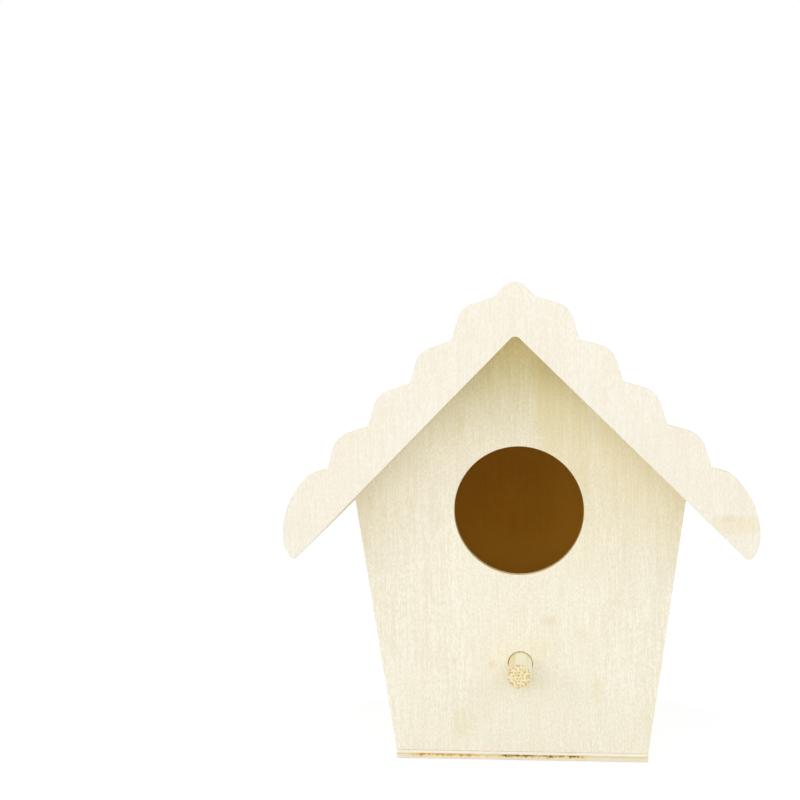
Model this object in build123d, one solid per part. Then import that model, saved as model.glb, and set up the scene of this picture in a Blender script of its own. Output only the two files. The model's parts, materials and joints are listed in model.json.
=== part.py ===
"""Hanging birdhouse of thin plywood, glued up from flat panels.

A pentagonal front and back narrow towards a flat floor and carry a steep two-panel
roof. A scalloped gable trim closes the front ends of the roof panels, and a bamboo
perch stands in the front wall below the round entrance. Sizes are in millimetres.
X is across the front, Y runs from front to back, and Z is up from the floor's underside.
"""

import os
from math import atan2, cos, hypot, radians, sin, tan

from build123d import *

# Plywood sheets
wall_sheet = 3.0
floor_sheet = 3.0
trim_sheet = 3.0
roof_sheet = 5.0

# The house: front and back outline, and the depth over both of their outer faces
base_width = 88.0
eave_width = 114.6
eave_height = 92.7
roof_pitch = 45.0
house_depth = 86.0

# Entrance in the front wall
entrance_diameter = 45.0
entrance_height = 88.2

# Perch and its hole
perch_diameter = 8.2
perch_height = 34.4
perch_reach = 17.0
perch_inner_reach = 2.0
perch_end_chamfer = 0.4
perch_hole_clearance = 0.25
perch_seat_gap = 0.05

# Hole for a nail or hook in the back wall, measured down from the peak
hanging_hole_diameter = 6.0
hanging_hole_drop = 24.0

# Roof panels: overhangs past the walls, and how far the trim's tips pass the eaves
front_overhang = 22.0
rear_overhang = 12.0
eave_setback = 1.6

# Scalloped trim: inner edge, band, lobes, crest and tips. A rise is that of the sharp
# corner before it is rounded.
trim_run = 106.0
trim_band = 13.5
lobe_count = 4
lobe_rise = 5.3
lobe_round = 7.5
notch_round = 1.6
crest_width = 13.8
crest_rise = 6.9
crest_round = 5.0
end_lobe_run = 30.3
end_lobe_lead = 5.6
end_lobe_rise = 3.0
tip_inset = 3.6
tip_drop = 8.6
tip_round = 1.3
inner_peak_round = 2.0

# Every cut runs this far past the faces that it opens
overrun = 1.0

# Two places closer than this are one corner
place_gap = 0.05

# Places that follow from the sizes above
pitch = radians(roof_pitch)
half_base = base_width / 2
half_eave = eave_width / 2
peak_height = eave_height + half_eave * tan(pitch)
lean = atan2(half_eave - half_base, eave_height - floor_sheet)
overall_depth = trim_sheet + front_overhang + house_depth + rear_overhang
trim_front = -overall_depth / 2
roof_front = trim_front + trim_sheet
house_front = roof_front + front_overhang
house_back = house_front + house_depth
roof_back = house_back + rear_overhang
perch_radius = perch_diameter / 2
perch_hole_radius = perch_radius + perch_hole_clearance
perch_axis_height = perch_height - perch_hole_clearance + perch_seat_gap


def slab(outline, front, back):
    """A flat outline of X and Z points, given thickness from front to back along Y."""
    face = Plane.XZ * make_face(Polyline(*outline, close=True))
    solid = extrude(face, back - front, dir=(0, 1, 0))
    return Pos(0, front, 0) * solid


def drilled(panel, height, radius, front, back):
    """The panel with a round hole bored through it along Y, on the middle line."""
    tool = Cylinder(radius, back - front + 2 * overrun)
    tool = Pos(0, (front + back) / 2, height) * Rot(90, 0, 0) * tool
    return panel - tool


def on_slope(along, out):
    """X and Z of a point on the right slope: along it from the inner peak, and out."""
    across = along * cos(pitch) + out * sin(pitch)
    up = peak_height - along * sin(pitch) + out * cos(pitch)
    return across, up


def mirrored(points):
    """The same points on the left side."""
    return [(-x, z) for x, z in points]


# Floor: a plain rectangle under all four walls
floor_panel = slab(
    [(-half_base, 0), (half_base, 0), (half_base, floor_sheet), (-half_base, floor_sheet)],
    house_front,
    house_back,
)

# Front and back: one pentagon, standing on the floor, wider at the eaves than at the base
right_edge = [(half_base, floor_sheet), (half_eave, eave_height)]
gable = right_edge + [(0, peak_height)] + mirrored(right_edge)[::-1]

front_inner = house_front + wall_sheet
front_wall = slab(gable, house_front, front_inner)
front_wall = drilled(
    front_wall, entrance_height, entrance_diameter / 2, house_front, front_inner
)
front_wall = drilled(
    front_wall, perch_height, perch_hole_radius, house_front, front_inner
)

back_inner = house_back - wall_sheet
hanging_hole_height = peak_height - hanging_hole_drop
back_wall = slab(gable, back_inner, house_back)
back_wall = drilled(
    back_wall, hanging_hole_height, hanging_hole_diameter / 2, back_inner, house_back
)

# Sides: between the front and the back, leaning outwards, cut flat on the floor and
# under the roof
side_span = wall_sheet / cos(lean)
inner_base = half_base - side_span
inner_top = (inner_base + (peak_height - floor_sheet) * tan(lean)) / (
    1 + tan(pitch) * tan(lean)
)
side = [
    (inner_base, floor_sheet),
    (half_base, floor_sheet),
    (half_eave, eave_height),
    (inner_top, peak_height - inner_top * tan(pitch)),
]
right_side_wall = slab(side, front_inner, back_inner)
left_side_wall = slab(mirrored(side), front_inner, back_inner)

# Roof: the left panel runs through to the ridge and laps the top edge of the right one
roof_run = trim_run - eave_setback
lap = roof_sheet / sin(2 * pitch)
lap_end = (lap * cos(pitch), peak_height + lap * sin(pitch))
ridge_top = (0, peak_height + roof_sheet / cos(pitch))
inner_ridge = (0, peak_height)
eave = [on_slope(roof_run, roof_sheet), on_slope(roof_run, 0)]
right_roof_panel = slab([inner_ridge, lap_end] + eave, roof_front, roof_back)
left_roof_panel = slab([lap_end, ridge_top] + mirrored(eave), roof_front, roof_back)


# Trim: an inverted V with a straight inner edge along the undersides of the roof panels.
# Its outer edge has a crest, four lobes a side with straight flanks and rounded tops, and
# a longer lobe that curves round to each tip.
crest_half = crest_width / 2
first_notch = (crest_half - trim_band * sin(pitch)) / cos(pitch)
last_notch = trim_run - end_lobe_run
lobe_run = (last_notch - first_notch) / lobe_count
notches = [on_slope(first_notch + lobe_run * k, trim_band) for k in range(lobe_count + 1)]
tops = [
    on_slope(first_notch + lobe_run * k + lobe_run / 2, trim_band + lobe_rise)
    for k in range(lobe_count)
]
end_top = on_slope(last_notch + end_lobe_lead, trim_band + end_lobe_rise)
crest_top = (0, notches[0][1] + crest_rise)
tip = on_slope(trim_run, 0)
shoulder = (tip[0] + tip_inset, tip[1] + tip_drop)

scallops = [notches[0]]
for lobe_top, notch in zip(tops, notches[1:]):
    scallops += [lobe_top, notch]
scallops.append(end_top)


def tip_edges(sign):
    """The trim's edge on one side, from its last lobe round the tip to the inner peak."""
    start = (sign * end_top[0], end_top[1])
    widest = (sign * shoulder[0], shoulder[1])
    foot = (sign * tip[0], tip[1])
    return [
        TangentArc(widest, start, tangent=(0, 1)),
        TangentArc(widest, foot, tangent=(0, -1)),
        Line(foot, inner_ridge),
    ]


top_edge = Polyline(*mirrored(scallops)[::-1], crest_top, *scallops)
trim_face = make_face([top_edge] + tip_edges(1) + tip_edges(-1))


def corners_at(face, places):
    """The corners of a flat outline that lie at the given places."""
    found = []
    for corner in face.vertices():
        for x, z in places:
            if hypot(corner.X - x, corner.Y - z) < place_gap:
                found.append(corner)
    return found


rounded_tops = tops + [end_top]
trim_face = fillet(corners_at(trim_face, rounded_tops + mirrored(rounded_tops)), lobe_round)
trim_face = fillet(corners_at(trim_face, notches + mirrored(notches)), notch_round)
trim_face = fillet(corners_at(trim_face, [crest_top]), crest_round)
trim_face = fillet(corners_at(trim_face, [tip] + mirrored([tip])), tip_round)
trim_face = fillet(corners_at(trim_face, [inner_ridge]), inner_peak_round)
scalloped_fascia = extrude(Plane.XZ * trim_face, trim_sheet, dir=(0, 1, 0))
scalloped_fascia = Pos(0, trim_front, 0) * scalloped_fascia

# Perch: a round bamboo stick through its hole, resting on the hole's lower edge
perch_front = house_front - perch_reach
perch_back = front_inner + perch_inner_reach
perch = Cylinder(perch_radius, perch_back - perch_front)
perch = chamfer(perch.edges().filter_by(GeomType.CIRCLE), perch_end_chamfer)
perch = Rot(90, 0, 0) * perch
perch = Pos(0, (perch_front + perch_back) / 2, perch_axis_height) * perch

pieces = {
    "floor_panel": floor_panel,
    "front_wall": front_wall,
    "back_wall": back_wall,
    "left_side_wall": left_side_wall,
    "right_side_wall": right_side_wall,
    "left_roof_panel": left_roof_panel,
    "right_roof_panel": right_roof_panel,
    "scalloped_fascia": scalloped_fascia,
    "perch": perch,
}

os.makedirs("parts", exist_ok=True)
for name, solid in pieces.items():
    solid.label = name
    export_step(solid, f"parts/{name}.step")

nearest = perch_hole_clearance - (perch_height - perch_axis_height)
print("overall depth", round(overall_depth, 2), "peak", round(peak_height, 2))
print("perch to its hole", round(nearest, 3))
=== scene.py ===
"""Hanging birdhouse glued up from eight pieces of thin raw plywood and a bamboo stick.

The sections follow the order in which the house is put together: floor, front, back,
sides, roof, scalloped trim and perch. The table that it stands on, the light and the
camera come last. Lengths are in metres, with X to the right, Y to the rear and Z up.
"""

import json
from math import radians

import bpy
from mathutils import Matrix, Vector

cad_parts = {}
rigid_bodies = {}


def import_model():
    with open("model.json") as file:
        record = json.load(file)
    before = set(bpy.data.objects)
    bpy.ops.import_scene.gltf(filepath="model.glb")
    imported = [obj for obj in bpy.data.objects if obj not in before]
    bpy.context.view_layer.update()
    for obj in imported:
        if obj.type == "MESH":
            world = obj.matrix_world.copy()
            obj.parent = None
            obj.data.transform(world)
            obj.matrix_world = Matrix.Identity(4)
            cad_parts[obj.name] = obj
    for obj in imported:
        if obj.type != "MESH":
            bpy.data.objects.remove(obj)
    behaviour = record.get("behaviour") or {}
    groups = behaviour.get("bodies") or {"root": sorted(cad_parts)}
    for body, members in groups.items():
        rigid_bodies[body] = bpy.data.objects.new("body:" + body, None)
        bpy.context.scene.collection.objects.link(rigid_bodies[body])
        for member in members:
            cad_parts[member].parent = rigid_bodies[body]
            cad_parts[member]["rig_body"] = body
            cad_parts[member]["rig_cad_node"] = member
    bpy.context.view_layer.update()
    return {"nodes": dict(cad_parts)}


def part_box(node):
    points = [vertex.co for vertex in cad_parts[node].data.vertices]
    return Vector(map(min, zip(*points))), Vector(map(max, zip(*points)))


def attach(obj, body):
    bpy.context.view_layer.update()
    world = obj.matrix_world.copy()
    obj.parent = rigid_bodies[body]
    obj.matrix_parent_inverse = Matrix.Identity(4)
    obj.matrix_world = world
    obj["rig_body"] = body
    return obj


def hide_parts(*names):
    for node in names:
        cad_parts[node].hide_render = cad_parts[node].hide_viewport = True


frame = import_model()


# Floor panel: a rectangle of thin poplar plywood that carries all four walls. It is sawn
# to size, its corners are eased with sandpaper, and it is glued under the walls. Brown
# glue stands along most of its front edge.

weld_gap = 0.000002
flat_angle = radians(1)
corner_angle = radians(40)
rounding_angle = radians(60)


def sanded_copy(node, ease=0.00022):
    """A copy of a solid whose sharp corners are eased by a touch of sandpaper."""
    bpy.ops.object.select_all(action="DESELECT")
    solid = frame["nodes"][node]
    solid.select_set(True)
    bpy.context.view_layer.objects.active = solid
    bpy.ops.object.duplicate()
    panel = bpy.context.active_object
    panel.parent = None
    del panel["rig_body"], panel["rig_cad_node"]
    panel.name = node + "_sanded"
    bpy.ops.object.mode_set(mode="EDIT")
    bpy.ops.mesh.select_all(action="SELECT")
    bpy.ops.mesh.remove_doubles(threshold=weld_gap)
    bpy.ops.mesh.dissolve_limited(angle_limit=flat_angle)
    bpy.ops.object.mode_set(mode="OBJECT")
    eased = panel.modifiers.new("eased", "BEVEL")
    eased.width = ease
    eased.segments = 2
    eased.limit_method = "ANGLE"
    eased.angle_limit = corner_angle
    eased.harden_normals = True
    bpy.ops.object.shade_smooth_by_angle(angle=rounding_angle)
    bpy.ops.object.modifier_apply(modifier="eased")
    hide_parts(node)
    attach(panel, "root")
    return panel


def shade(red, green, blue):
    """A colour as the eye sees it, from 0 to 255, as the light that a shader takes."""
    parts = [value / 255 for value in (red, green, blue)]
    parts = [((p + 0.055) / 1.055) ** 2.4 if p > 0.04045 else p / 12.92 for p in parts]
    return (*parts, 1)


def fit(tree, kind, inputs=None, **settings):
    """One node of a finish. Each input is a plain value or the output it takes."""
    node = tree.nodes.new("ShaderNode" + kind)
    for name, value in settings.items():
        setattr(node, name, value)
    for name, value in (inputs or {}).items():
        if isinstance(value, bpy.types.NodeSocket):
            tree.links.new(value, node.inputs[name])
        else:
            node.inputs[name].default_value = value
    return node


def reckon(tree, operation, *values):
    """The result of a sum on numbers and outputs."""
    inputs = dict(enumerate(values))
    return fit(tree, "Math", inputs, operation=operation).outputs["Value"]


def share_of_way(tree, value, low, high):
    """How far the value has come from low to high, from 0 to 1."""
    inputs = {"Value": value, "From Min": low, "From Max": high}
    return fit(tree, "MapRange", inputs).outputs["Result"]


def between(tree, value, low, high, bottom=0.0, top=1.0):
    """The value, stretched smoothly from low and high to bottom and top."""
    inputs = {"Value": value, "From Min": low, "From Max": high, "To Min": bottom, "To Max": top}
    return fit(tree, "MapRange", inputs, interpolation_type="SMOOTHSTEP").outputs["Result"]


def tinted(tree, amount, under, over, blend="MIX"):
    """One colour laid over another, by an amount from 0 to 1."""
    inputs = {"Factor": amount, "A": under, "B": over}
    mix = fit(tree, "Mix", inputs, data_type="RGBA", blend_type=blend, clamp_factor=True)
    return mix.outputs["Result"]


def own_place(tree):
    """Where a point lies on its piece."""
    return fit(tree, "TexCoord").outputs["Object"]


def panel_turn(outward, along):
    """The turn that lays a panel with its face across Y and its grain along Z."""
    side = outward.cross(along).normalized()
    return Matrix((side, outward.normalized(), along.normalized())).to_euler()


def laid_flat(tree, place, turn):
    """The same place on the panel as the turn lays it."""
    return fit(tree, "Mapping", {"Vector": place, "Rotation": turn}).outputs["Vector"]


def cloudy(tree, laid, cells, detail=2.0):
    """A random figure whose cells are this wide, thick and long: a value and a direction."""
    scale = [1 / size for size in cells]
    scaled = fit(tree, "Mapping", {"Vector": laid, "Scale": scale}).outputs["Vector"]
    return fit(tree, "TexNoise", {"Vector": scaled, "Scale": 1, "Detail": detail}).outputs


def grain(tree, laid, cells, detail=2.0):
    """A random figure in the wood, from 0 to 1, whose cells are this wide, thick and long."""
    return cloudy(tree, laid, cells, detail)["Fac"]


def swayed(tree, laid, cells, sway):
    """The place, pushed by up to this much, so that no line is as straight as a ruler."""
    inputs = {0: cloudy(tree, laid, cells)["Color"], 1: sway, 2: laid}
    return fit(tree, "VectorMath", inputs, operation="MULTIPLY_ADD").outputs["Vector"]


def reach_from(tree, place, centre, half):
    """How far the place is from a centre, with 1 where the half width or height ends."""
    inputs = {"Vector": place, "Location": centre, "Scale": half}
    nearby = fit(tree, "Mapping", inputs, vector_type="TEXTURE").outputs["Vector"]
    return fit(tree, "VectorMath", {0: nearby}, operation="LENGTH").outputs["Value"]


stain_cells = (0.0016, 0.0016, 0.0022)
spot_levels = (0.32, 0.5)
share_off_spots = 0.2


def stained(tree, colour, place, centre, half, tone, strength, ragged, spots, core):
    """A ragged mark, even in its core, and broken into spots of a size that isn't 0."""
    reach = reach_from(tree, place, centre, half)
    uneven = grain(tree, place, stain_cells, detail=3)
    reach = reckon(tree, "MULTIPLY_ADD", uneven, ragged * 2, reach)
    amount = between(tree, reach, core + ragged, 1 + ragged, strength, 0)
    if spots:
        dots = grain(tree, place, (spots, spots, spots), detail=1)
        dots = between(tree, dots, *spot_levels, share_off_spots)
        amount = reckon(tree, "MULTIPLY", amount, dots)
    return tinted(tree, amount, colour, tone)


wood_sheen = 0.28
relief_strength = 0.7


def finished(name, tree_maker):
    """A new finish whose shader takes the colour, roughness and relief that are made."""
    finish = bpy.data.materials.new(name)
    finish.use_nodes = True
    tree = finish.node_tree
    shader = tree.nodes["Principled BSDF"]
    shader.inputs["Specular IOR Level"].default_value = wood_sheen
    colour, roughness, height, relief = tree_maker(tree)
    inputs = {"Height": height, "Distance": relief, "Strength": relief_strength}
    bump = fit(tree, "Bump", inputs)
    tree.links.new(colour, shader.inputs["Base Color"])
    tree.links.new(roughness, shader.inputs["Roughness"])
    tree.links.new(bump.outputs["Normal"], shader.inputs["Normal"])
    return finish


sway_cells = (0.018, 0.02, 0.05)
grain_sway = (0.0022, 0.0022, 0.0022)
streak_cells = (0.0017, 0.003, 0.045)
streak_weight = 0.8
patch_cells = (0.016, 0.02, 0.045)
patch_weight = 1.2
fibre_cells = (0.00038, 0.0009, 0.001)
line_cells = (0.0004, 0.0009, 0.011)
line_weight = 0.6
fibre_levels = (0.55, 1.0)
fibre_tone = shade(244, 242, 235)
pore_cells = (0.00035, 0.0005, 0.0016)
pore_levels = (0.62, 0.76)
pore_strength = 0.16
pore_depth = 0.8
pore_tone = shade(204, 192, 156)
sanded_roughness = 0.55
fibre_roughness = 0.25
fibre_relief = 0.00005


def veneer(name, turn, pale, amber, amber_share, patchy=1.0, marks=(), figure=None, fuzz=1.0):
    """Rotary cut veneer: short fibres, long faint lines, pores and soft amber patches."""

    def make(tree):
        place = own_place(tree)
        laid = swayed(tree, laid_flat(tree, place, turn), sway_cells, grain_sway)
        streaks = grain(tree, laid, streak_cells)
        patches = grain(tree, laid, patch_cells)
        # Both figures average a half, so what is amber on average is the amber share.
        amount = reckon(tree, "MULTIPLY_ADD", streaks, streak_weight * patchy, amber_share)
        amount = reckon(tree, "MULTIPLY_ADD", patches, patch_weight * patchy, amount)
        amount = reckon(tree, "SUBTRACT", amount, patchy)
        colour = tinted(tree, amount, pale, amber)
        fibres = grain(tree, laid, fibre_cells, detail=0.5)
        lines = grain(tree, laid, line_cells, detail=0.5)
        fibres = reckon(tree, "MULTIPLY_ADD", lines, line_weight, fibres)
        fine = between(tree, fibres, *fibre_levels, 0, fuzz)
        colour = tinted(tree, fine, colour, fibre_tone, "MULTIPLY")
        pores = between(tree, grain(tree, laid, pore_cells, detail=1), *pore_levels)
        amount = reckon(tree, "MULTIPLY", pores, pore_strength)
        colour = tinted(tree, amount, colour, pore_tone)
        if figure:
            colour = figure(tree, colour, place)
        for mark in marks:
            colour = stained(tree, colour, place, *mark)
        height = reckon(tree, "MULTIPLY_ADD", pores, -pore_depth, fibres)
        roughness = reckon(tree, "MULTIPLY_ADD", fibres, fibre_roughness, sanded_roughness)
        return colour, roughness, height, fibre_relief

    return finished(name, make)


def banded(tree, amount, bands):
    """A run of colours, each at its share of the way, that blend into each other."""
    ramp = fit(tree, "ValToRGB", {"Fac": amount})
    stops = ramp.color_ramp.elements
    while len(stops) < len(bands):
        stops.new(0.5)
    for stop, (at, tone) in zip(stops, bands):
        stop.position = at
        stop.color = tone
    return ramp.outputs


wander_cells = (0.006, 0.01, 0.006)
layer_wander = 0.12
torn_cells = (0.0005, 0.00018, 0.0005)
torn_weight = 0.5
torn_start = 0.15
torn_tone = shade(206, 180, 126)
saw_mark_cells = (0.0025, 0.0004, 0.0025)
saw_mark_levels = (0.5, 0.75)
saw_mark_strength = 0.25
saw_mark_tone = shade(205, 180, 125)
sawn_roughness = 0.68
torn_roughness = 0.2
saw_relief = 0.00012


def sawn_layers(name, turn, panel, layers, figure=None):
    """The sawn edge of a sheet: its layers from the inner face to the outer one."""
    outward = turn.to_matrix()[1]
    reach = [outward.dot(corner.co) for corner in panel.data.vertices]

    def make(tree):
        place = own_place(tree)
        laid = laid_flat(tree, place, turn)
        through = fit(tree, "SeparateXYZ", {"Vector": laid}).outputs["Y"]
        depth = share_of_way(tree, through, min(reach), max(reach))
        wander = grain(tree, laid, wander_cells, detail=3)
        depth = reckon(tree, "MULTIPLY_ADD", wander, layer_wander, depth)
        depth = reckon(tree, "SUBTRACT", depth, layer_wander / 2)
        colour = banded(tree, depth, layers)["Color"]
        torn = grain(tree, laid, torn_cells, detail=3)
        amount = reckon(tree, "MULTIPLY_ADD", torn, torn_weight, -torn_start)
        colour = tinted(tree, amount, colour, torn_tone, "MULTIPLY")
        saw_marks = grain(tree, laid, saw_mark_cells)
        amount = between(tree, saw_marks, *saw_mark_levels, 0, saw_mark_strength)
        colour = tinted(tree, amount, colour, saw_mark_tone)
        if figure:
            colour = figure(tree, colour, place)
        roughness = reckon(tree, "MULTIPLY_ADD", torn, torn_roughness, sawn_roughness)
        return colour, roughness, torn, saw_relief

    return finished(name, make)


def lay_finishes(panel, outward, face, back, edge, facing=0.9):
    """One finish for the face that looks outward, one for the back, one for the edges."""
    panel.data.materials.clear()
    for finish in (face, back, edge):
        panel.data.materials.append(finish)
    for side in panel.data.polygons:
        turned = side.normal.dot(outward)
        if turned > facing:
            side.material_index = 0
        elif turned < -facing:
            side.material_index = 1
        else:
            side.material_index = 2


downwards = Vector((0, 0, -1))
rightwards = Vector((1, 0, 0))
underside_pale = shade(244, 237, 214)
amber_wood = shade(243, 235, 208)
# The inner faces are painted a deep amber, as the entrance shows them: painted shade.
painted_shade_pale_inside = shade(241, 177, 40)
painted_shade_amber_inside = shade(233, 163, 28)

floor_panel = sanded_copy("floor_panel")
floor_turn = panel_turn(downwards, rightwards)
floor_layers = (
    # The first stop, at the top where the walls stand, is darker: painted shade in the seam.
    (0.0, shade(240, 232, 206)),
    (0.06, shade(255, 254, 247)),
    (0.32, shade(255, 253, 244)),
    (0.4, shade(234, 222, 180)),
    (0.52, shade(236, 225, 184)),
    (0.64, shade(247, 238, 208)),
    (1.0, shade(250, 244, 224)),
)

# The glue runs from left to right, each stop with its colour and strength. It hangs in
# teeth from just below the floor's upper layer and has soaked into the wood round them.
floor_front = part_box("floor_panel")[0].y
glue_left = -0.041
glue_right = 0.025
glue_top = 0.0018
glue_fade = 0.00015
glue_full_depth = 0.0004
glue_last_depth = 0.001
glue_run = (
    (-0.04, shade(226, 184, 100), 0.0),
    (-0.0365, shade(204, 144, 50), 0.95),
    (-0.018, shade(206, 152, 62), 0.8),
    (-0.0145, shade(222, 184, 100), 0.35),
    (-0.008, shade(204, 160, 76), 0.3),
    (-0.006, shade(140, 90, 8), 1.0),
    (0.003, shade(150, 100, 10), 0.95),
    (0.006, shade(190, 146, 66), 0.45),
    (0.0085, shade(146, 98, 8), 1.0),
    (0.02, shade(156, 108, 16), 1.0),
    (0.0235, shade(222, 180, 104), 0.0),
)
soaked_rise = (0.0003, 0.0015)
soaked_strength = 0.75
soaked_tone = shade(246, 220, 150)
tooth_cells = (0.0011, 0.004, 0.004)
tooth_length = 0.0028
tooth_start = 0.0006
tooth_edge = (-0.0001, 0.00025)
speck_cells = (0.0009, 0.002, 0.0014)
speck_levels = (0.36, 0.56)
share_off_specks = 0.4


def pressed_out_glue(tree, colour, place):
    """Brown glue in fine teeth along the core of the front edge, with a golden stain."""
    across, along, up = fit(tree, "SeparateXYZ", {"Vector": place}).outputs
    bands = [
        ((at - glue_left) / (glue_right - glue_left), (*tone[:3], strength))
        for at, tone, strength in glue_run
    ]
    tone, strength = banded(tree, share_of_way(tree, across, glue_left, glue_right), bands)
    full = floor_front + glue_full_depth
    last = floor_front + glue_last_depth
    strength = reckon(tree, "MULTIPLY", strength, between(tree, along, full, last, 1, 0))
    below_top = between(tree, up, glue_top, glue_top + glue_fade, 1, 0)
    strength = reckon(tree, "MULTIPLY", strength, below_top)
    soaked = between(tree, up, *soaked_rise, 0, soaked_strength)
    soaked = reckon(tree, "MULTIPLY", soaked, strength)
    colour = tinted(tree, soaked, colour, soaked_tone)
    teeth = grain(tree, place, tooth_cells, detail=3)
    foot = reckon(tree, "MULTIPLY_ADD", teeth, -tooth_length, glue_top + tooth_start)
    amount = between(tree, reckon(tree, "SUBTRACT", up, foot), *tooth_edge)
    specks = grain(tree, place, speck_cells, detail=1)
    specks = between(tree, specks, *speck_levels, share_off_specks)
    amount = reckon(tree, "MULTIPLY", amount, specks)
    return tinted(tree, reckon(tree, "MULTIPLY", amount, strength), colour, tone)


lay_finishes(
    floor_panel,
    downwards,
    veneer("floor_underside", floor_turn, underside_pale, amber_wood, amber_share=0.4),
    veneer("floor_inside", floor_turn, painted_shade_pale_inside, painted_shade_amber_inside, amber_share=0.5),
    sawn_layers("floor_edge", floor_turn, floor_panel, floor_layers, pressed_out_glue),
)


# Front wall: a pentagon of the same plywood with the round entrance and the perch's hole
# drilled through it. It laps the front edges of both sides. Its veneer is yellower and
# more streaked towards the upper right, and has a few glue and mineral marks. Two marks
# below the perch are partly its painted shadow, the wall is painted darker under the
# peak as painted shade, and the entrance's rim is painted lighter as painted light.

forwards = Vector((0, -1, 0))
upwards = Vector((0, 0, 1))
pale_wood = shade(255, 251, 238)
amber_tone = shade(230, 215, 156)
brown_tone = shade(214, 192, 130)
glue_tone = shade(222, 194, 126)
olive_stain_and_painted_shadow = shade(224, 215, 158)

front_wall = sanded_copy("front_wall", ease=0.00012)
front_turn = panel_turn(forwards, upwards)
front_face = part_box("front_wall")[0].y
wall_layers = (
    (0.0, shade(254, 247, 222)),
    (0.4, shade(252, 241, 208)),
    (0.48, shade(240, 220, 172)),
    (0.54, shade(198, 170, 122)),
    (0.6, shade(244, 226, 180)),
    (0.7, shade(254, 243, 210)),
    (1.0, shade(255, 249, 228)),
)
mark_depth = 0.004


def face_mark(face, across, up, half_across, half_up, tone, strength, ragged, spots=0, core=0):
    """A mark on a face that looks forwards, by its middle and half its width and height."""
    centre = (across, face, up)
    half = (half_across, mark_depth, half_up)
    return centre, half, tone, strength, ragged, spots, core


# Each mark's place across and up, half its width and height, its tone and strength, and
# how ragged its edge is
front_marks = [
    face_mark(front_face, *mark)
    for mark in (
        (0.0076, 0.126, 0.0015, 0.022, amber_tone, 0.32, 0.4),
        (0.0116, 0.118, 0.0012, 0.018, amber_tone, 0.2, 0.4),
        (-0.009, 0.13, 0.0014, 0.012, amber_tone, 0.25, 0.5),
        (-0.02, 0.118, 0.0016, 0.009, amber_tone, 0.25, 0.5),
        (0.0103, 0.0496, 0.005, 0.0026, brown_tone, 0.24, 0.6),
        (0.0334, 0.0567, 0.0022, 0.0022, brown_tone, 0.2, 0.6),
        (-0.0096, 0.0341, 0.0028, 0.0024, glue_tone, 0.3, 0.5),
        (-0.0233, 0.0354, 0.0012, 0.0034, brown_tone, 0.2, 0.4),
        (-0.0215, 0.0097, 0.0018, 0.0022, brown_tone, 0.15, 0.5),
        (0.0217, 0.0447, 0.0028, 0.0046, amber_tone, 0.18, 0.5),
        (0.0268, 0.0254, 0.0024, 0.0075, amber_tone, 0.28, 0.5),
        (-0.0111, 0.0494, 0.0007, 0.0008, brown_tone, 0.32, 0.3),
        (0.0065, 0.0405, 0.009, 0.0055, amber_tone, 0.16, 0.7),
        # Partly a stain, partly the perch's shadow painted on below it.
        (0.002, 0.0275, 0.013, 0.0045, amber_tone, 0.2, 0.6),
        # An olive stain at the lower left, with the perch's shadow painted on.
        (-0.0205, 0.012, 0.0075, 0.008, olive_stain_and_painted_shadow, 0.24, 0.6),
    )
]

entrance_height = 0.0882
rim_radius = 0.0235
rim_fade = 1.04
rim_painted_light_share = 0.9
# Painted light on the rim, which lies in shade.
rim_painted_light = shade(255, 238, 190)


def painted_light_rim(tree, colour, place):
    """The entrance's rim, painted lighter than the sawn edge round it: painted light."""
    axis = (0, front_face, entrance_height)
    reach = reach_from(tree, place, axis, (rim_radius, 1, rim_radius))
    return tinted(tree, between(tree, reach, 1, rim_fade, rim_painted_light_share, 0), colour, rim_painted_light)


heartwood_edge = (0.0055, 0.0115)
heartwood_edge_cells = (0.004, 0.01, 0.03)
heartwood_edge_wander = 0.004
heartwood_rise = (0.052, 0.112)
heartwood_strength = 0.33
heartwood_streak_cells = (0.0022, 0.01, 0.06)
heartwood_streak_levels = (0.25, 0.7)
heartwood_streak_strengths = (0.55, 1.2)
# Painted shade: the wall darker and warmer towards its top, under the peak.
painted_peak_shade_rise = (0.1, 0.15)
painted_peak_shade_tones = (
    (0.2, shade(255, 255, 255)),
    (0.5, shade(248, 248, 240)),
    (0.75, shade(238, 234, 209)),
    (0.97, shade(249, 242, 203)),
)


def heartwood_and_painted_peak_shade(tree, colour, place):
    """Yellower wood right of a line under the peak, and painted shade in the peak itself."""
    across, _, up = fit(tree, "SeparateXYZ", {"Vector": place}).outputs
    uneven = grain(tree, place, heartwood_edge_cells)
    across = reckon(tree, "MULTIPLY_ADD", uneven, heartwood_edge_wander, across)
    amount = between(tree, across, *heartwood_edge)
    amount = reckon(tree, "MULTIPLY", amount, heartwood_strength)
    amount = reckon(tree, "MULTIPLY", amount, between(tree, up, *heartwood_rise))
    streaks = grain(tree, place, heartwood_streak_cells)
    streaks = between(tree, streaks, *heartwood_streak_levels, *heartwood_streak_strengths)
    amount = reckon(tree, "MULTIPLY", amount, streaks)
    colour = tinted(tree, amount, colour, amber_tone)
    # The painted shade under the peak.
    peak = banded(tree, share_of_way(tree, up, *painted_peak_shade_rise), painted_peak_shade_tones)["Color"]
    return tinted(tree, 1, colour, peak, "MULTIPLY")


lay_finishes(
    front_wall,
    forwards,
    veneer(
        "front_face",
        front_turn,
        pale_wood,
        amber_wood,
        amber_share=0.3,
        patchy=0.42,
        marks=front_marks,
        figure=heartwood_and_painted_peak_shade,
    ),
    veneer("front_inside", front_turn, painted_shade_pale_inside, painted_shade_amber_inside, amber_share=0.5),
    sawn_layers("front_edge", front_turn, front_wall, wall_layers, painted_light_rim),
)


# Back wall: the same pentagon without an entrance, with one small drilled hole near the
# peak to hang the house by. It laps the rear edges of both sides. Its inner face is
# painted paler away from the middle of what the entrance shows: painted light.

backwards = Vector((0, 1, 0))

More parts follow.
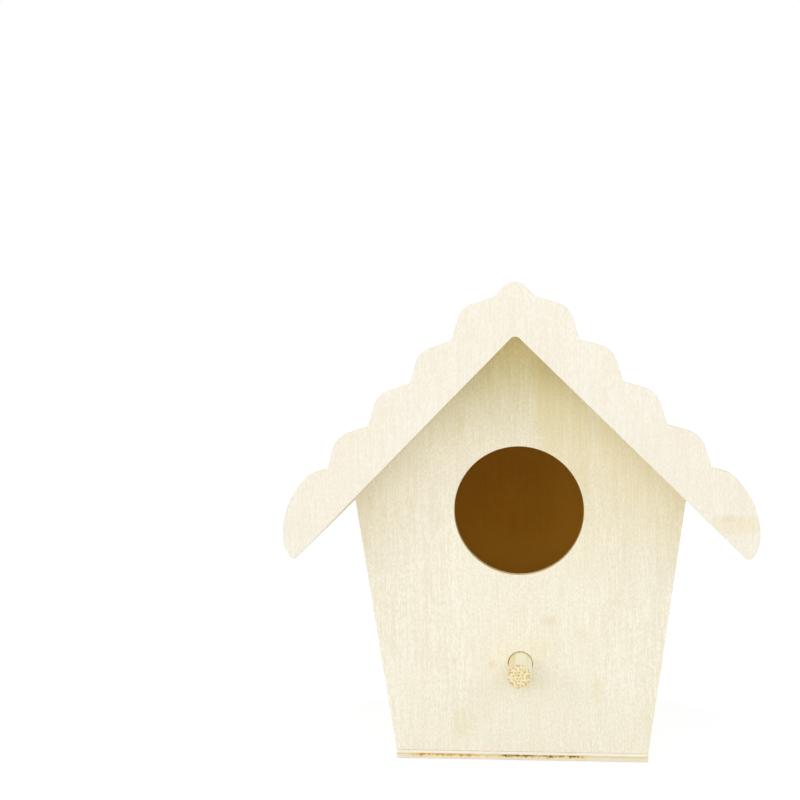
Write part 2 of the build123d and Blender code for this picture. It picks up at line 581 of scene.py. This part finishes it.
back_wall = sanded_copy("back_wall")
back_turn = panel_turn(backwards, upwards)
back_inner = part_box("back_wall")[0].y
painted_light_middle = Vector((-0.004, back_inner, 0.082))
painted_light_reach = (0.01, 0.03)
# Painted light on the inner face, paler away from this middle.
painted_light_pale = shade(255, 191, 54)


def painted_light_outwards(tree, colour, place):
    """Painted light on the inner face: paler away from the middle of what the entrance shows."""
    inputs = {0: place, 1: painted_light_middle}
    reach = fit(tree, "VectorMath", inputs, operation="DISTANCE").outputs["Value"]
    return tinted(tree, between(tree, reach, *painted_light_reach), colour, painted_light_pale)


lay_finishes(
    back_wall,
    backwards,
    veneer("back_face", back_turn, pale_wood, amber_wood, amber_share=0.42, patchy=1.2),
    veneer(
        "back_inside",
        back_turn,
        painted_shade_pale_inside,
        painted_shade_amber_inside,
        amber_share=0.5,
        figure=painted_light_outwards,
    ),
    sawn_layers("back_edge", back_turn, back_wall, wall_layers),
)


# Side walls: two plywood rectangles that lean outwards between the front and the back.
# Their edges are planed to the lean, flat on the floor and flush under the roof.

side_pale = shade(249, 245, 230)


def broad_side(panel, towards):
    """The outward direction of the panel's largest face that looks the given way."""
    largest = max(panel.data.polygons, key=lambda face: face.area * face.normal.dot(towards))
    return largest.normal.copy()


for hand, towards in (("left", -rightwards), ("right", rightwards)):
    side_wall = sanded_copy(hand + "_side_wall")
    outward = broad_side(side_wall, towards)
    side_turn = panel_turn(outward, outward.cross(backwards))
    lay_finishes(
        side_wall,
        outward,
        veneer(hand + "_side_face", side_turn, side_pale, amber_wood, amber_share=0.28),
        veneer(hand + "_side_inside", side_turn, painted_shade_pale_inside, painted_shade_amber_inside, amber_share=0.5),
        sawn_layers(hand + "_side_edge", side_turn, side_wall, wall_layers),
    )


# Roof panels: two rectangles of thicker five-ply board. The left one runs through and
# laps the top edge of the right one. Both are glued on the sloping edges of the walls,
# with a deep overhang in front and a short one at the back.

light_layer = shade(250, 242, 216)
roof_layers = (
    (0.0, light_layer),
    (0.17, shade(240, 234, 214)),
    (0.2, shade(168, 150, 112)),
    (0.25, shade(222, 214, 190)),
    (0.42, shade(238, 234, 220)),
    (0.47, shade(182, 168, 134)),
    (0.52, shade(240, 235, 218)),
    (0.72, shade(232, 226, 206)),
    (0.76, shade(172, 156, 118)),
    (0.82, shade(240, 233, 210)),
    (1.0, light_layer),
)
under_pale = shade(251, 241, 206)
under_amber = shade(244, 226, 176)

for hand, towards in (("left", upwards - rightwards), ("right", upwards + rightwards)):
    roof_panel = sanded_copy(hand + "_roof_panel")
    outward = broad_side(roof_panel, towards)
    roof_turn = panel_turn(outward, outward.cross(backwards))
    lay_finishes(
        roof_panel,
        outward,
        veneer(
            hand + "_roof_top",
            roof_turn,
            pale_wood,
            amber_wood,
            amber_share=0.36,
            patchy=1.3,
        ),
        veneer(
            hand + "_roof_underside",
            roof_turn,
            under_pale,
            under_amber,
            amber_share=0.5,
            patchy=1.2,
        ),
        sawn_layers(hand + "_roof_edge", roof_turn, roof_panel, roof_layers),
    )


# Scalloped trim: an inverted V cut in one piece from the thin plywood, with four round
# lobes a side, a crest and two longer tips. It is glued on the front ends of the roof
# panels, with its grain upright as on the front. A tan growth band crosses its right tip.

trim_pale = shade(250, 245, 234)
trim_amber = shade(244, 235, 211)
tan_tone = shade(236, 216, 160)
tan_edge_tone = shade(216, 196, 146)

trim = sanded_copy("scalloped_fascia", ease=0.0002)
trim_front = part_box("scalloped_fascia")[0].y
trim_layers = (
    (0.0, shade(252, 240, 208)),
    (0.3, shade(248, 230, 188)),
    (0.6, shade(246, 226, 178)),
    (0.7, shade(196, 156, 96)),
    (0.76, shade(252, 240, 208)),
    (1.0, shade(253, 246, 226)),
)
trim_marks = (
    face_mark(trim_front, 0.0705, 0.0869, 0.014, 0.0042, tan_tone, 0.28, 0.35, core=0.3),
    face_mark(trim_front, 0.0695, 0.0894, 0.008, 0.0019, tan_edge_tone, 0.26, 0.5, spots=0.0007),
)
lay_finishes(
    trim,
    forwards,
    veneer(
        "trim_face",
        front_turn,
        trim_pale,
        trim_amber,
        amber_share=0.28,
        patchy=0.6,
        marks=trim_marks,
        fuzz=0.62,
    ),
    veneer("trim_back", front_turn, pale_wood, amber_wood, amber_share=0.4),
    sawn_layers("trim_edge", front_turn, trim, trim_layers),
)


# Perch: a short round stick of bamboo with broken corners, pushed through its hole from
# the front and glued. Its ends show the brown ends of the fibre bundles. Its side is
# painted yellower down the left: painted shade.

stick_turn = (radians(90), 0, 0)
bundle_spacing = 0.00112
bundle_scatter = 0.7
bundle_levels = (0.12, 0.42)
bundle_sway_cells = (0.0009, 0.0009, 0.0009)
bundle_sway = (0.0006, 0.0006, 0)
bundle_tone_cells = (0.0011, 0.0011, 0.0011)
bundle_tone_levels = (0.35, 0.6)
bundle_strengths = (0.35, 0.85)
bundle_tone = shade(186, 152, 88)
bundle_depth = 0.7
pith_cells = (0.0008, 0.0008, 0.0008)
pith_levels = (0.35, 0.65)
pale_pith = shade(249, 237, 202)
amber_pith = shade(241, 221, 167)
end_roughness = 0.6
pith_roughness = 0.2
end_relief = 0.00008


def bamboo_end(tree):
    """Pale pith dotted with the cut ends of the fibre bundles, some darker than others."""
    laid = laid_flat(tree, own_place(tree), stick_turn)
    bent = swayed(tree, laid, bundle_sway_cells, bundle_sway)
    inputs = {"Vector": bent, "Scale": 1 / bundle_spacing, "Randomness": bundle_scatter}
    bundles = fit(tree, "TexVoronoi", inputs, voronoi_dimensions="2D").outputs["Distance"]
    dots = between(tree, bundles, *bundle_levels, 1, 0)
    darkness = grain(tree, laid, bundle_tone_cells, detail=1)
    darkness = between(tree, darkness, *bundle_tone_levels, *bundle_strengths)
    dots = reckon(tree, "MULTIPLY", dots, darkness)
    pith = between(tree, grain(tree, laid, pith_cells, detail=3), *pith_levels)
    colour = tinted(tree, pith, pale_pith, amber_pith)
    colour = tinted(tree, dots, colour, bundle_tone)
    roughness = reckon(tree, "MULTIPLY_ADD", pith, pith_roughness, end_roughness)
    height = reckon(tree, "MULTIPLY_ADD", dots, -bundle_depth, pith)
    return colour, roughness, height, end_relief


long_fibre_cells = (0.00025, 0.02, 0.00025)
long_bundle_cells = (0.0011, 0.08, 0.0011)
pale_bamboo = shade(255, 254, 242)
cream_bamboo = shade(254, 248, 222)
painted_shade_edge = (-0.0021, -0.0017)
painted_shade_strength = 0.5
painted_shade_bamboo = shade(246, 222, 146)
olive_line = -0.0018
olive_line_reach = (0.00012, 0.00035)
olive_strength = 0.45
olive_bamboo = shade(214, 200, 118)
bundle_line_levels = (0.58, 0.7)
bundle_line_strength = 0.25
bundle_line_tone = shade(236, 214, 150)
waxy_roughness = 0.45
long_fibre_roughness = 0.2
waxy_relief = 0.00004


def bamboo_side(tree):
    """Long straight fibres on a pale waxy ground, yellower down its left side: painted shade."""
    place = own_place(tree)
    fibres = grain(tree, place, long_fibre_cells, detail=3)
    colour = tinted(tree, fibres, pale_bamboo, cream_bamboo)
    across = fit(tree, "SeparateXYZ", {"Vector": place}).outputs["X"]
    # Painted shade down the stick's left side.
    amount = between(tree, across, *painted_shade_edge, painted_shade_strength, 0)
    colour = tinted(tree, amount, colour, painted_shade_bamboo)
    off_line = reckon(tree, "ABSOLUTE", reckon(tree, "SUBTRACT", across, olive_line))
    amount = between(tree, off_line, *olive_line_reach, olive_strength, 0)
    colour = tinted(tree, amount, colour, olive_bamboo)
    bundles = grain(tree, place, long_bundle_cells, detail=1)
    amount = between(tree, bundles, *bundle_line_levels, 0, bundle_line_strength)
    colour = tinted(tree, amount, colour, bundle_line_tone)
    roughness = reckon(tree, "MULTIPLY_ADD", fibres, long_fibre_roughness, waxy_roughness)
    return colour, roughness, fibres, waxy_relief


perch = sanded_copy("perch", ease=0.0001)
# The ends' finish reaches round the broken corners, which look half forwards.
lay_finishes(
    perch,
    forwards,
    finished("perch_end", bamboo_end),
    finished("perch_inner_end", bamboo_end),
    finished("perch_side", bamboo_side),
    facing=0.5,
)

ripple_cells = (0.0012, 0.0012, 0.0012)
ripple_relief = 0.00005
ripple_roughness = 0.3
glue_roughness = 0.25
thin_glue = shade(206, 190, 132)
thick_glue = shade(176, 160, 104)
darker_left_edge = (-0.0034, -0.0014)
darker_left_edge_wander = 0.002
darker_left_glue = shade(118, 92, 24)


def dried_glue(tree):
    """Clear yellow glue, darker on the left."""
    place = own_place(tree)
    across = fit(tree, "SeparateXYZ", {"Vector": place}).outputs["X"]
    ripples = grain(tree, place, ripple_cells)
    across = reckon(tree, "MULTIPLY_ADD", ripples, darker_left_edge_wander, across)
    colour = tinted(tree, ripples, thin_glue, thick_glue)
    colour = tinted(tree, between(tree, across, *darker_left_edge, 1, 0), colour, darker_left_glue)
    roughness = reckon(tree, "MULTIPLY_ADD", ripples, ripple_roughness, glue_roughness)
    return colour, roughness, ripples, ripple_relief


# The glue is a thin ring in the hole round the stick, set back a little from the face.
ring_sides = 96
ring_radius = 0.00434
ring_height = 0.0344
ring_depth = 0.0022
ring_set_back = 0.00015
bpy.ops.object.select_all(action="DESELECT")
bpy.ops.mesh.primitive_cylinder_add(
    vertices=ring_sides,
    radius=ring_radius,
    depth=ring_depth,
    location=(0, front_face + ring_set_back + ring_depth / 2, ring_height),
    rotation=(radians(90), 0, 0),
)
glue = bpy.context.active_object
glue.name = "perch_glue"
bpy.ops.object.transform_apply(location=True, rotation=True, scale=True)
stick_gap = glue.modifiers.new("stick_gap", "BOOLEAN")
stick_gap.operation = "DIFFERENCE"
stick_gap.object = perch
bpy.ops.object.modifier_apply(modifier="stick_gap")
bpy.ops.object.shade_smooth_by_angle(angle=corner_angle)
glue.data.materials.clear()
glue.data.materials.append(finished("dried_glue", dried_glue))
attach(glue, "root")


# Table: a plain white board that the house stands on. To the eye it is as white as the
# room, with a faint soft shadow round the floor, and it throws light back up.

table_width = 60
table_drop = 0.0002
lit_board = (0.8, 0.8, 0.79, 1)
seen_board = (0.3, 0.305, 0.33, 1)
white = (1, 1, 1, 1)
glow_reach = (0.12, 1.6)
glow_strength = (0.752, 0.9)


def looked_at(tree):
    """1 for what the camera sees, also in a shiny or clear surface, and 0 for light."""
    path = fit(tree, "LightPath").outputs
    direct = reckon(tree, "MAXIMUM", path["Is Camera Ray"], path["Is Glossy Ray"])
    return reckon(tree, "MAXIMUM", direct, path["Is Transmission Ray"])


bpy.ops.mesh.primitive_plane_add(size=1, location=(0, 0, 0))
table = bpy.context.active_object
table.name = "white_table"
bpy.ops.object.mode_set(mode="EDIT")
bpy.ops.mesh.select_all(action="SELECT")
bpy.ops.transform.resize(value=(table_width, table_width, 1))
bpy.ops.transform.translate(value=(0, 0, -table_drop))
bpy.ops.object.mode_set(mode="OBJECT")

white_board = bpy.data.materials.new("white_board")
white_board.use_nodes = True
tree = white_board.node_tree
tree.nodes.remove(tree.nodes["Principled BSDF"])
lit = fit(tree, "BsdfDiffuse", {"Color": lit_board}).outputs["BSDF"]
faint = fit(tree, "BsdfDiffuse", {"Color": seen_board}).outputs["BSDF"]
away = fit(tree, "VectorMath", {0: own_place(tree)}, operation="LENGTH").outputs["Value"]
strength = between(tree, away, *glow_reach, *glow_strength)
glow = fit(tree, "Emission", {"Color": white, "Strength": strength}).outputs["Emission"]
bright = fit(tree, "AddShader", {0: faint, 1: glow}).outputs["Shader"]
board = fit(tree, "MixShader", {0: looked_at(tree), 1: lit, 2: bright}).outputs["Shader"]
tree.links.new(board, tree.nodes["Material Output"].inputs["Surface"])
table.data.materials.append(white_board)


# Light: an even white room, a large soft lamp in front, a smaller one high on each side of
# it, a weak one overhead, and two behind for the sides and the back.

room_strength = 0.475
room = bpy.data.worlds.new("white_room")
bpy.context.scene.world = room
room.use_nodes = True
tree = room.node_tree
even = tree.nodes["Background"]
even.inputs["Color"].default_value = white
even.inputs["Strength"].default_value = room_strength
plain = fit(tree, "Background", {"Color": white, "Strength": 1}).outputs["Background"]
parts = {0: looked_at(tree), 1: even.outputs["Background"], 2: plain}
sky = fit(tree, "MixShader", parts).outputs["Shader"]
tree.links.new(sky, tree.nodes["World Output"].inputs["Surface"])

lamp_target = Vector((0, 0, 0.08))
for name, stand, width, power in (
    ("front_lamp", Vector((-0.05, -1.2, 0.25)), 1.0, 4.7),
    ("left_lamp", Vector((-0.93, -0.9, 0.55)), 0.6, 2.3),
    ("right_lamp", Vector((0.94, -0.88, 0.7)), 0.6, 1.9),
    ("top_lamp", Vector((0, -0.6, 1.0)), 0.9, 1.6),
    ("left_rear_lamp", Vector((-1.1, 0.6, 0.8)), 0.8, 5.4),
    ("right_rear_lamp", Vector((1.1, 0.6, 0.8)), 0.8, 5.4),
):
    bpy.ops.object.light_add(type="AREA", location=stand)
    lamp = bpy.context.active_object
    lamp.name = name
    lamp.data.size = width
    lamp.data.energy = power
    lamp.rotation_euler = (lamp_target - stand).to_track_quat("-Z", "Y").to_euler()


# Camera: half a metre in front, a little to the right of the middle and just below the
# crest, so that the undersides of the roof stay hidden, with a 63 mm lens.

camera_stand = (0.01148, -0.51897, 0.15877)
turned_left = radians(6.19)
looking_down = radians(3.727)
leaning_right = radians(0.928)

bpy.ops.object.camera_add()
camera = bpy.context.active_object
camera.name = "camera"
camera.data.sensor_width = 36
camera.data.lens = 62.775
swing = Matrix.Rotation(turned_left, 4, "Z")
tilt = Matrix.Rotation(radians(90) - looking_down, 4, "X")
roll = Matrix.Rotation(-leaning_right, 4, "Z")
camera.matrix_world = Matrix.Translation(camera_stand) @ swing @ tilt @ roll
bpy.context.scene.camera = camera
bpy.context.scene.view_settings.view_transform = "Standard"
